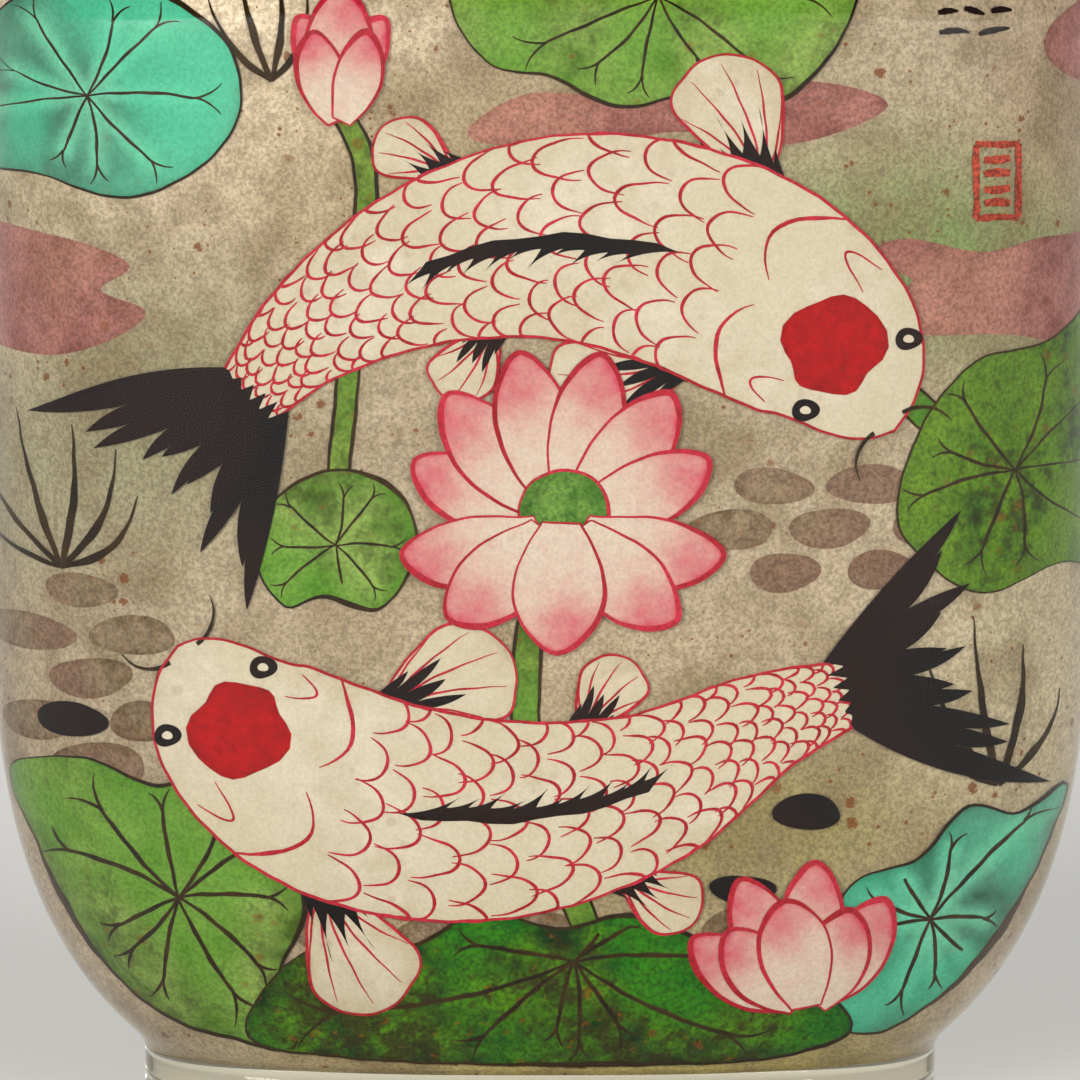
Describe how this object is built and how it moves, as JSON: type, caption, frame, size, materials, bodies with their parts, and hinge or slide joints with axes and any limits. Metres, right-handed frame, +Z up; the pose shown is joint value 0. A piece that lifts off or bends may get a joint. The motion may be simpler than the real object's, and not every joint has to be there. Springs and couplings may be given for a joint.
{
  "type": "snuff bottle",
  "caption": "Flattened hollow glass bottle with an oval foot ring, a narrow neck and a lift-off domed stopper, painted on its inside wall with carp among lotus leaves.",
  "frame": {"origin": "middle of the foot's underside, at the height that the bottle stands on", "axes": "+Z up through the neck, +X across the wide side to the right of the front face, +Y from the front face to the back face"},
  "size_m": [0.052, 0.028, 0.0834],
  "materials": {
    "clear_glass": "polished clear glass, painted on the inside wall",
    "inside_paint": "matt watercolour and ink on a frosted inside wall",
    "cork": "bare cork",
    "dark_collar": "polished near-black disc",
    "green_glass": "polished opaque green glass"
  },
  "bodies": {
    "root": {"bottle": "clear_glass", "stopper_cork": "cork", "stopper_collar": "dark_collar", "stopper_cap": "green_glass"}
  },
  "joints": []
}
